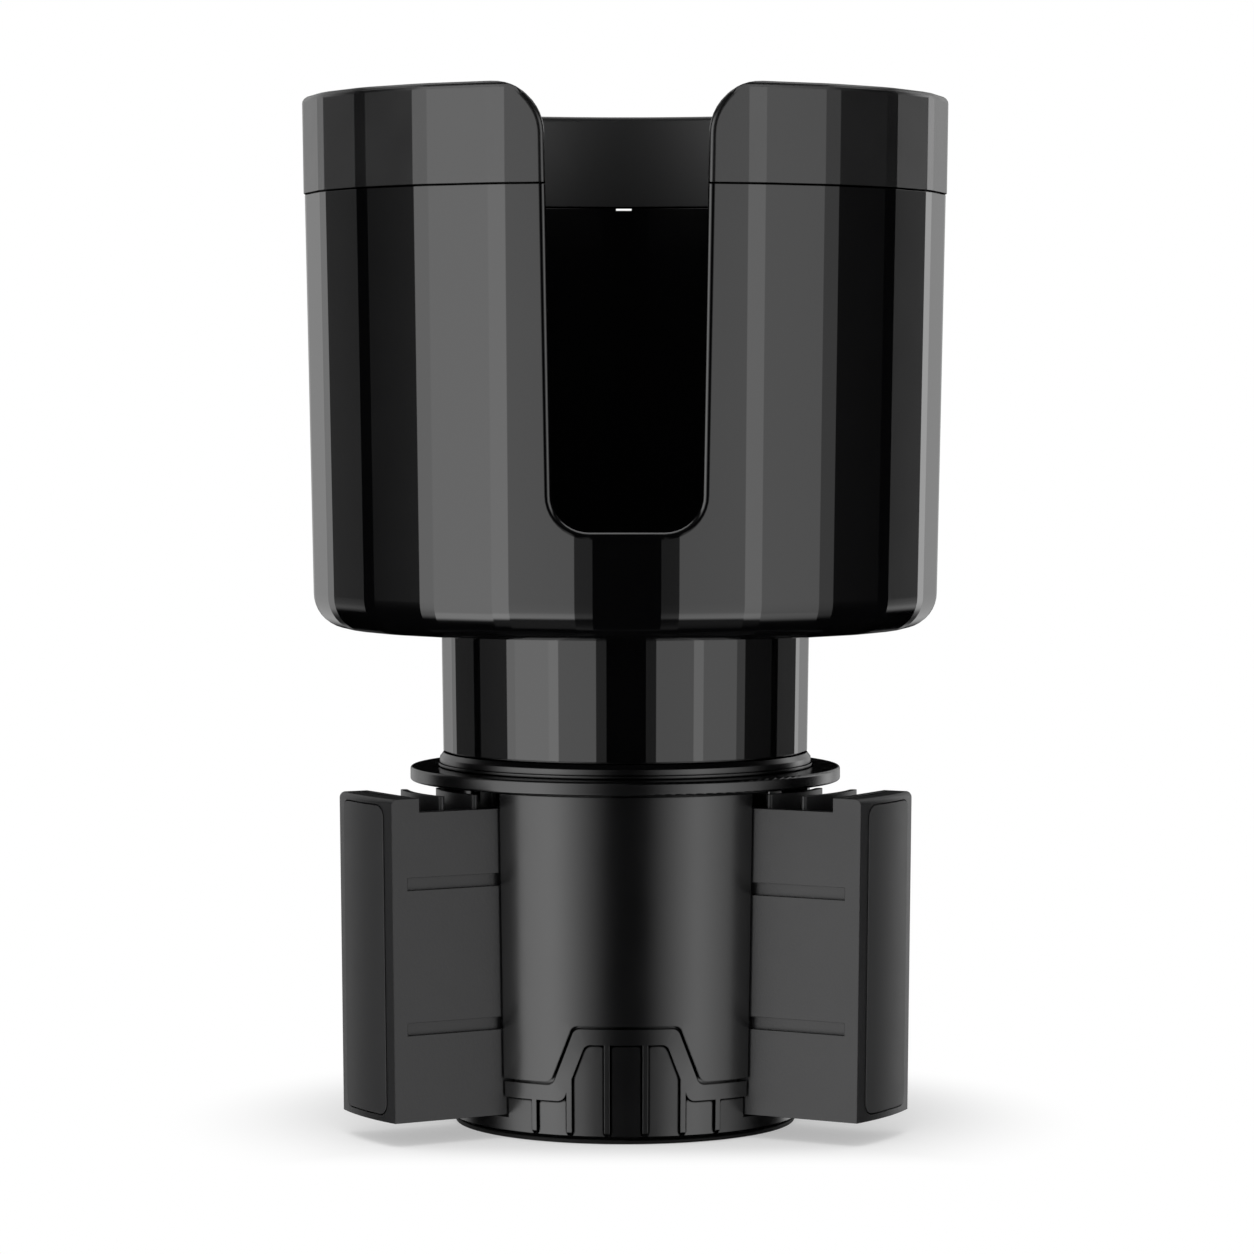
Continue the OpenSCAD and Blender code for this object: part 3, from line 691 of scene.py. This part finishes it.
class CUPHOLDER_OT_ring(bpy.types.Operator):
    """Finish the rim ring in satin moulded plastic, with painted shade in the seam's gap at its
    foot
    """

    bl_idname = "cupholder.ring"
    bl_label = "Finish Rim Ring"

    def execute(self, context):
        s = context.scene.cupholder_finishes
        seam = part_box("cup_shell")[1][2]
        ring = rounded_copy(
            "rim_ring_rounded", "rim_ring", seam + RING_ABOVE_SEAM, s.ring_to, RING_TAPER,
            s.slot_edge)
        dress([ring], moulded_plastic(
            "ring plastic with painted seam shade", s.ring_colour, s.ring_roughness, s.grain, 4 * s.grain_depth, s.edge,
            ring=(s.ring_bore, seam + SEAM_GAP)))
        return {"FINISHED"}


class CUPHOLDER_OT_base(bpy.types.Operator):
    """Finish the scroll plate, the housing and the base cap"""

    bl_idname = "cupholder.base"
    bl_label = "Finish Base"

    def execute(self, context):
        s = context.scene.cupholder_finishes
        # The flange and the cap get painted shade in their inner corners.
        for name, nodes, edge, corner in (
                ("flange plastic with painted corner shade", ["scroll_plate"], s.edge, FLANGE_SHADE_REACH),
                ("cap plastic with painted corner shade", ["base_cap"], s.edge, CAP_SHADE_REACH),
                ("base plastic", ["housing"], s.base_edge, None)):
            dress(nodes, moulded_plastic(
                name, s.base_colour, s.base_roughness, s.grain, 2 * s.grain_depth, edge,
                corner=corner))
        return {"FINISHED"}


class CUPHOLDER_OT_jaws(bpy.types.Operator):
    """Finish the three jaws in textured plastic"""

    bl_idname = "cupholder.jaws"
    bl_label = "Finish Jaws"

    def execute(self, context):
        dress(["jaw_1", "jaw_2", "jaw_3"],
              jaw_plastic("jaw plastic", context.scene.cupholder_finishes))
        return {"FINISHED"}


class CUPHOLDER_OT_pads(bpy.types.Operator):
    """Finish the jaws' pads in rubber"""

    bl_idname = "cupholder.pads"
    bl_label = "Finish Jaw Pads"

    def execute(self, context):
        s = context.scene.cupholder_finishes
        dress(["jaw_pad_1", "jaw_pad_2", "jaw_pad_3"], rubber(
            "pad rubber", s.pad_colour, s.pad_roughness, PAD_GRAIN, PAD_GRAIN_DEPTH, s.edge))
        return {"FINISHED"}


class CUPHOLDER_OT_foot(bpy.types.Operator):
    """Finish the foot pad and the cup's floor mat in rubber"""

    bl_idname = "cupholder.foot"
    bl_label = "Finish Foot and Mat"

    def execute(self, context):
        s = context.scene.cupholder_finishes
        dress(["foot_pad", "floor_mat"], rubber(
            "foot rubber", s.foot_colour, s.foot_roughness, FOOT_GRAIN, FOOT_GRAIN_DEPTH, s.edge,
            FOOT_SHINE))
        return {"FINISHED"}


class CUPHOLDER_OT_fasteners(bpy.types.Operator):
    """Finish the screws and washers"""

    bl_idname = "cupholder.fasteners"
    bl_label = "Finish Fasteners"

    def execute(self, context):
        s = context.scene.cupholder_finishes
        dress(["cup_screws", "neck_screws", "cap_screws", "centre_screw", "centre_washer"],
              zinc_steel("zinc steel", s.steel_colour, STEEL_ROUGHNESS, s.edge))
        dress(["thrust_washer"], moulded_plastic(
            "acetal", s.acetal_colour, ACETAL_ROUGHNESS, s.grain, s.grain_depth, s.edge))
        return {"FINISHED"}


# Stage


ROUND_STEPS = 96

# The floor lies just under the object, and fades to white over these distances in front of
# the axis and all round it. Even where the object hides the light, part of it is white.
FLOOR_DROP = 0.02 * MM
FADE_IN_FRONT = (0.029, 0.052)
FADE_ALL_ROUND = (0.046, 0.08)
FADE_LEAST = 0.42

# The light wall stands all round the object. Its angles are in degrees, from the camera
# round to the right or to the left, and each pair is where a change begins and ends.
WALL_LOW = -5.0
WALL_HIGH = 3.0
LEFT_BOX = 3.6
LEFT_RISE = (10.0, 45.0)
LEFT_SAG = (45.0, 85.0)
LEFT_SAG_SHARE = 0.35
LEFT_END = (76.0, 92.0)
RIGHT_BOX = 3.0
RIGHT_RISE = (13.0, 45.0)
RIGHT_FALL = (44.0, 93.0)
BOX_CURVE = 1.2
BACK_LIGHT = 0.64
BACK_START = (116.0, 134.0)
BACK_END = (163.0, 174.0)
LEFT_SCREEN = 0.25
LEFT_SCREEN_AT = 133.0
RIGHT_SCREEN = 1.1
RIGHT_SCREEN_AT = 134.0
SCREEN_SIDE = (4.0, 12.0)

# Heights in metres where the light wall changes, and what it changes by.
TOP_FALL = (0.7, 1.2)
TOP_LOSS = 0.97
FOOT_RISE = (-1.75, -1.25)
FOOT_LEAST = 0.05
LOW_FALL = (-0.9, -0.7)
LOW_EXTRA = 0.3
BACK_FOOT = (-0.5, -0.3)
HIGH_BACK = 1.3
HIGH_BACK_FROM = (1.25, 1.5)
HIGH_BACK_DEPTH = (0.1, 0.4)

ROOF_LAMP_SIZE = 1.2
ROOF_LAMP_AT = Vector((-0.1, -0.35, 1.5))
ROOF_LAMP_AIM = Vector((0.0, 0.0, 0.05))

SENSOR_WIDTH = 36.0
CLIP_START = 0.01


def disc_mesh(name, radius):
    """A flat disc about the Z axis."""
    built = bmesh.new()
    bmesh.ops.create_circle(built, cap_ends=True, radius=radius, segments=ROUND_STEPS)
    return finished_mesh(name, built)


def tent_mesh(name, radius, low, high):
    """A round wall, closed below and above."""
    built = bmesh.new()
    rings = []
    for z in (low, high):
        rings.append([
            built.verts.new((radius * math.cos(a), radius * math.sin(a), z))
            for a in (2 * math.pi * i / ROUND_STEPS for i in range(ROUND_STEPS))])
    for i in range(ROUND_STEPS):
        j = (i + 1) % ROUND_STEPS
        built.faces.new((rings[0][i], rings[0][j], rings[1][j], rings[1][i]))
    for ring in rings:
        built.faces.new(ring)
    return finished_mesh(name, built)


def stage_object(name, mesh, material):
    """A piece of the stage, which isn't part of the object."""
    mesh.materials.append(material)
    piece = add_object(name, mesh)
    return piece


def floor_material(settings):
    """Pale matte floor that fades into the white background away from the object."""
    material, graph = new_material("floor")
    x, y, _ = graph.parts(graph.position())
    clear = (-y).step(*FADE_IN_FRONT).highest(from_axis(x, y).step(*FADE_ALL_ROUND))
    fade = (clear * (1.0 - FADE_LEAST) + FADE_LEAST) * graph.seen()
    matte = graph.node("ShaderNodeBsdfDiffuse", None, {"Color": shade(settings.floor_colour)})
    white = graph.node("ShaderNodeEmission", None, {"Color": (1, 1, 1, 1), "Strength": 1.0})
    graph.surface(graph.node("ShaderNodeMixShader", None, {0: fade, 1: matte, 2: white}))
    return material


def wall_material():
    """Softboxes to the left and right of the camera, and pale screens behind the object."""
    material, graph = new_material("light wall")
    x, y, z = graph.parts(graph.position())
    turn = x.angle_from(-y) * (180 / math.pi)
    left_turn = -turn

    left = left_turn.ramp(*LEFT_RISE) ** BOX_CURVE
    left = left * (1.0 - left_turn.ramp(*LEFT_SAG) * LEFT_SAG_SHARE)
    left = left * (1.0 - left_turn.ramp(*LEFT_END)) * LEFT_BOX
    right = turn.ramp(*RIGHT_RISE) * (1.0 - turn.ramp(*RIGHT_FALL)) ** BOX_CURVE * RIGHT_BOX
    foot = FOOT_LEAST + z.step(*FOOT_RISE) * (1.0 - FOOT_LEAST)
    sides = (left + right) * foot * (1.0 + LOW_EXTRA - z.step(*LOW_FALL) * LOW_EXTRA)

    behind = abs(turn).step(*BACK_START) * (1.0 - abs(turn).step(*BACK_END)) * BACK_LIGHT
    left_screen = 1.0 - abs(left_turn - LEFT_SCREEN_AT).ramp(*SCREEN_SIDE)
    right_screen = 1.0 - abs(turn - RIGHT_SCREEN_AT).ramp(*SCREEN_SIDE)
    behind = behind + left_screen * LEFT_SCREEN + right_screen * RIGHT_SCREEN

    light = (sides + behind * z.step(*BACK_FOOT)) * (1.0 - z.step(*TOP_FALL) * TOP_LOSS)
    light = light + y.step(*HIGH_BACK_DEPTH) * z.step(*HIGH_BACK_FROM) * HIGH_BACK
    shader = graph.node("ShaderNodeEmission", None, {
        "Color": graph.node("ShaderNodeCombineColor", None, {0: light, 1: light, 2: light}),
        "Strength": 1.0})
    graph.surface(shader)
    return material


class CUPHOLDER_OT_stage(bpy.types.Operator):
    """Build the floor, the soft light, the background and the camera"""

    bl_idname = "cupholder.stage"
    bl_label = "Build Stage"

    def execute(self, context):
        s = context.scene.cupholder_stage
        self.build_floor(s)
        self.build_light(s)
        self.build_world(context.scene, s)
        self.build_camera(context.scene, s)
        context.scene.view_settings.view_transform = "Standard"
        return {"FINISHED"}

    def build_floor(self, s):
        floor = stage_object("floor", disc_mesh("floor", s.floor_radius), floor_material(s))
        floor.location.z = CAD_BOX[0][2] - FLOOR_DROP
        floor.visible_glossy = False

    def build_light(self, s):
        wall = wall_material()
        wall.cycles.emission_sampling = "NONE"
        mesh = tent_mesh("light_wall", s.wall_radius, WALL_LOW, WALL_HIGH)
        tent = stage_object("light_wall", mesh, wall)
        tent.visible_camera = False
        tent.visible_diffuse = False
        tent.visible_shadow = False
        lamp = bpy.data.lights.new("roof_lamp", "AREA")
        lamp.shape = "DISK"
        lamp.size = ROOF_LAMP_SIZE
        lamp.energy = s.roof_power
        roof = add_object("roof_lamp", lamp)
        roof.visible_glossy = False
        roof.location = ROOF_LAMP_AT
        aim = ROOF_LAMP_AIM - ROOF_LAMP_AT
        roof.rotation_euler = aim.to_track_quat("-Z", "Y").to_euler()

    def build_world(self, scene, s):
        world = bpy.data.worlds.new("studio")
        scene.world = world
        world.use_nodes = True
        world.cycles.sampling_method = "NONE"
        graph = Graph(world.node_tree)
        strength = graph.seen() * (1.0 - s.ambient) + s.ambient
        background = graph.node(
            "ShaderNodeBackground", None, {"Color": (1, 1, 1, 1), "Strength": strength})
        graph.surface(background, "ShaderNodeOutputWorld")

    def build_camera(self, scene, s):
        lens = bpy.data.cameras.new("photo_camera")
        lens.lens = s.camera_lens
        lens.sensor_width = SENSOR_WIDTH
        lens.clip_start = CLIP_START
        camera = add_object("photo_camera", lens)
        turned = Matrix.Rotation(s.camera_turn, 3, "Z")
        camera.location = turned @ Vector((s.camera_side, -s.camera_distance, s.camera_height))
        camera.rotation_euler = (math.pi / 2 - s.camera_pitch, 0.0, s.camera_turn)
        scene.camera = camera


class CUPHOLDER_PT_panel(bpy.types.Panel):
    """Finishes and stage of the cup holder"""

    bl_idname = "CUPHOLDER_PT_panel"
    bl_label = "Cup Holder"
    bl_space_type = "VIEW_3D"
    bl_region_type = "UI"
    bl_category = "Cup Holder"

    def draw(self, context):
        column = self.layout.column()
        for operator in PIECE_OPERATORS:
            column.operator(operator.bl_idname)
        for group in (context.scene.cupholder_finishes, context.scene.cupholder_stage):
            column.separator()
            for name in group.bl_rna.properties.keys():
                if name not in ("rna_type", "name"):
                    column.prop(group, name)


PIECE_OPERATORS = (
    CUPHOLDER_OT_cup,
    CUPHOLDER_OT_ring,
    CUPHOLDER_OT_base,
    CUPHOLDER_OT_jaws,
    CUPHOLDER_OT_pads,
    CUPHOLDER_OT_foot,
    CUPHOLDER_OT_fasteners,
    CUPHOLDER_OT_stage,
)
CLASSES = (CupHolderFinishes, CupHolderStage) + PIECE_OPERATORS + (CUPHOLDER_PT_panel,)


def register():
    for cls in CLASSES:
        bpy.utils.register_class(cls)
    bpy.types.Scene.cupholder_finishes = bpy.props.PointerProperty(type=CupHolderFinishes)
    bpy.types.Scene.cupholder_stage = bpy.props.PointerProperty(type=CupHolderStage)


def unregister():
    del bpy.types.Scene.cupholder_stage
    del bpy.types.Scene.cupholder_finishes
    for cls in reversed(CLASSES):
        bpy.utils.unregister_class(cls)


def main():
    register()
    bpy.ops.cupholder.cup()
    bpy.ops.cupholder.ring()
    bpy.ops.cupholder.base()
    bpy.ops.cupholder.jaws()
    bpy.ops.cupholder.pads()
    bpy.ops.cupholder.foot()
    bpy.ops.cupholder.fasteners()
    bpy.ops.cupholder.stage()


if __name__ == "__main__":
    main()
